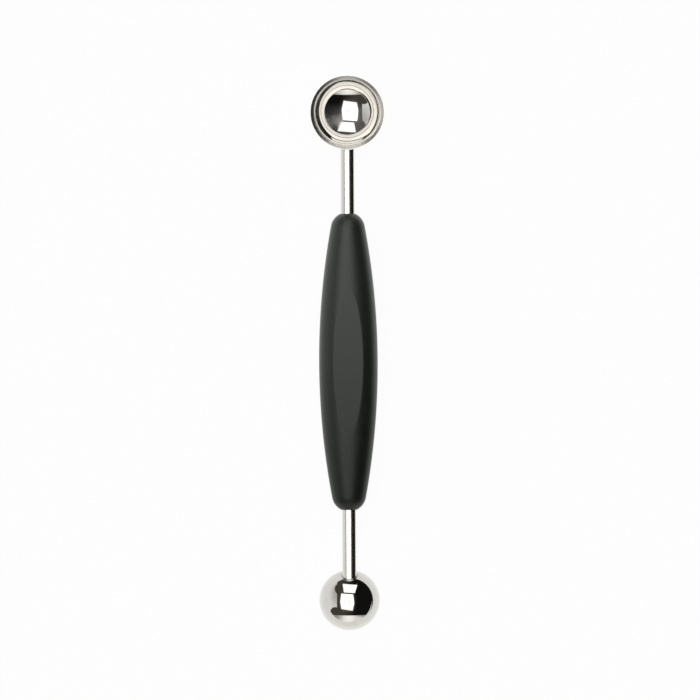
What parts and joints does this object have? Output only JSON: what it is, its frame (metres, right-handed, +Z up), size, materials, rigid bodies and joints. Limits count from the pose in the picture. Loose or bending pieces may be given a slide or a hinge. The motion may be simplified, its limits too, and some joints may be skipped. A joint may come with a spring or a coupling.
{
  "type": "double-ended melon baller",
  "caption": "Double-ended melon baller: a large and a small steel scoop facing opposite ways on welded shanks, in a soft oval grip with a flat for the thumb.",
  "frame": {"origin": "middle of the flat under the grip, where the tool rests", "axes": "+Y along the tool towards the large scoop, +Z up out of the thumb flat and the large scoop's mouth, +X to the right"},
  "size_m": [0.03, 0.2242, 0.0184],
  "materials": {
    "polished_steel": "polished",
    "weld_steel": "satin",
    "core_plastic": "satin",
    "soft_rubber": "matte"
  },
  "bodies": {
    "root": {"large_bowl": "polished_steel", "small_bowl": "polished_steel", "large_shank": "polished_steel", "small_shank": "polished_steel", "large_weld": "weld_steel", "small_weld": "weld_steel", "handle_core": "core_plastic", "soft_grip": "soft_rubber"}
  },
  "joints": []
}
